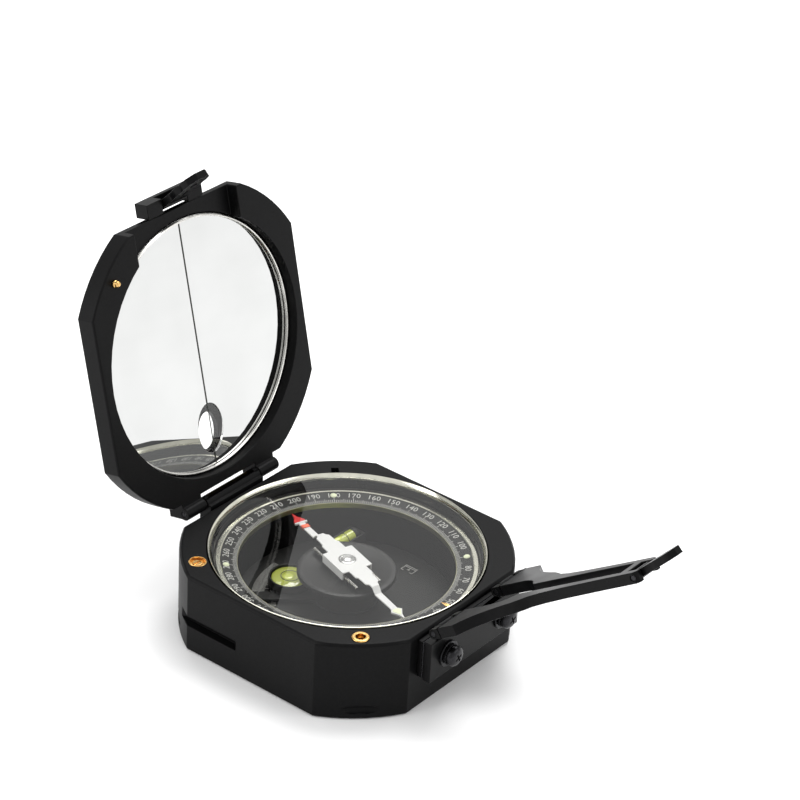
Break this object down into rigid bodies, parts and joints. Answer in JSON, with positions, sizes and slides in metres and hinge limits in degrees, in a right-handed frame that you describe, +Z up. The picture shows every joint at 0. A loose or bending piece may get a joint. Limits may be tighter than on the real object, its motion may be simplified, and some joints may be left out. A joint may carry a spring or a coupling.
{
  "type": "sighting compass",
  "caption": "Pocket geological compass: octagonal glazed case with needle and levels, mirror lid with peep sight, and a folding slotted sight arm",
  "frame": {"origin": "middle of the case's underside, on the needle and clinometer axis; z = 0 is the plane the case stands on", "axes": "+Z up out of the dial, +Y from the lid hinge towards the sight arm, +X towards the side with the needle-lift bush"},
  "size_m": [0.073, 0.159, 0.1082],
  "materials": {
    "black_enamel": "die-cast alloy with a satin black coating",
    "dial_black": "matt black coated sheet with printed white marks",
    "silver_ring": "bright nickel-plated",
    "spring_steel": "plain steel wire",
    "dark_steel": "black-oxide steel",
    "brass": "turned brass",
    "copper": "fine copper wire",
    "crystal": "clear polished glass",
    "mirror": "silvered glass",
    "level_fluid": "glass vial with yellow-green spirit",
    "needle_white": "white painted sheet with a red end"
  },
  "bodies": {
    "case": {"case_shell": "black_enamel", "glass_spacer": "black_enamel", "glass_crystal": "crystal", "bezel_ring": "silver_ring", "index_pin": "brass", "scale_plate": "dial_black", "pinion_bush": "brass", "lift_bush": "brass", "lift_spring": "spring_steel", "hinge_lug": "black_enamel", "hinge_pin": "brass", "lug_screw_1": "dark_steel", "lug_screw_2": "dark_steel", "bracket_block": "black_enamel", "bracket_shim": "dark_steel", "bracket_plate": "black_enamel", "flat_washer_1": "dark_steel", "flat_washer_2": "dark_steel", "lock_washer_1": "dark_steel", "lock_washer_2": "dark_steel", "bracket_screw_1": "dark_steel", "bracket_screw_2": "dark_steel", "arm_pin_a": "dark_steel", "arm_pin_b": "dark_steel"},
    "dial_ring": {"graduated_ring": "dial_black"},
    "pinion": {"ring_pinion": "brass"},
    "lift": {"lift_pin": "brass"},
    "clinometer": {"clinometer_shaft": "brass", "hub_disc": "dial_black", "pivot_post": "silver_ring", "vernier_arm": "dial_black", "long_level_holder": "dial_black", "long_level_vial": "level_fluid", "round_level_cup": "silver_ring", "round_level_vial": "level_fluid", "clinometer_lever": "black_enamel"},
    "needle": {"needle_frame": "needle_white", "jewel_cap": "silver_ring", "magnet_left": "spring_steel", "magnet_right": "spring_steel", "balance_wire": "copper"},
    "lid": {"lid_shell": "black_enamel", "mirror": "mirror", "sighting_pane": "crystal", "mirror_ring": "silver_ring", "lid_stud": "brass", "peep_block": "black_enamel", "peep_pin": "dark_steel"},
    "peep": {"peep_leaf": "black_enamel"},
    "arm": {"sight_arm": "black_enamel", "tip_pin": "dark_steel"},
    "tip": {"sight_tip": "black_enamel"}
  },
  "joints": [
    {"name": "lid_hinge", "type": "hinge", "parent": "case", "child": "lid", "pos_m": [0, -0.0392, 0.0224], "axis": [1, 0, 0], "range_deg": [-102.5, 77.5]},
    {"name": "peep_hinge", "type": "hinge", "parent": "lid", "child": "peep", "pos_m": [0, -0.06019, 0.09723], "axis": [-1, 0, 0], "range_deg": [-55, 35]},
    {"name": "arm_hinge", "type": "hinge", "parent": "case", "child": "arm", "pos_m": [0, 0.0406, 0.024], "axis": [1, 0, 0], "range_deg": [-34, 144]},
    {"name": "tip_hinge", "type": "hinge", "parent": "arm", "child": "tip", "pos_m": [0, 0.0862, 0.05476], "axis": [-1, 0, 0], "range_deg": [-75.5, 14.5]},
    {"name": "needle_spin", "type": "hinge", "parent": "case", "child": "needle", "pos_m": [0, 0, 0.0182], "axis": [0, 0, 1], "continuous": true},
    {"name": "dial_turn", "type": "hinge", "parent": "case", "child": "dial_ring", "pos_m": [0, 0, 0.017], "axis": [0, 0, 1], "continuous": true},
    {"name": "pinion_turn", "type": "hinge", "parent": "case", "child": "pinion", "pos_m": [0.03, -0.023, 0.017], "axis": [0, 0, 1], "continuous": true},
    {"name": "clinometer_turn", "type": "hinge", "parent": "case", "child": "clinometer", "pos_m": [0, 0, 0.007], "axis": [0, 0, 1], "range_deg": [-90, 90]},
    {"name": "lift_press", "type": "slide", "parent": "case", "child": "lift", "axis": [0, 0, -1], "range_m": [0, 0.0012], "stiffness_N_per_m": 150, "deforming": ["lift_spring"]}
  ],
  "couplings": [
    {"joint": "pinion_turn", "follows": "dial_turn", "ratio": -12}
  ]
}
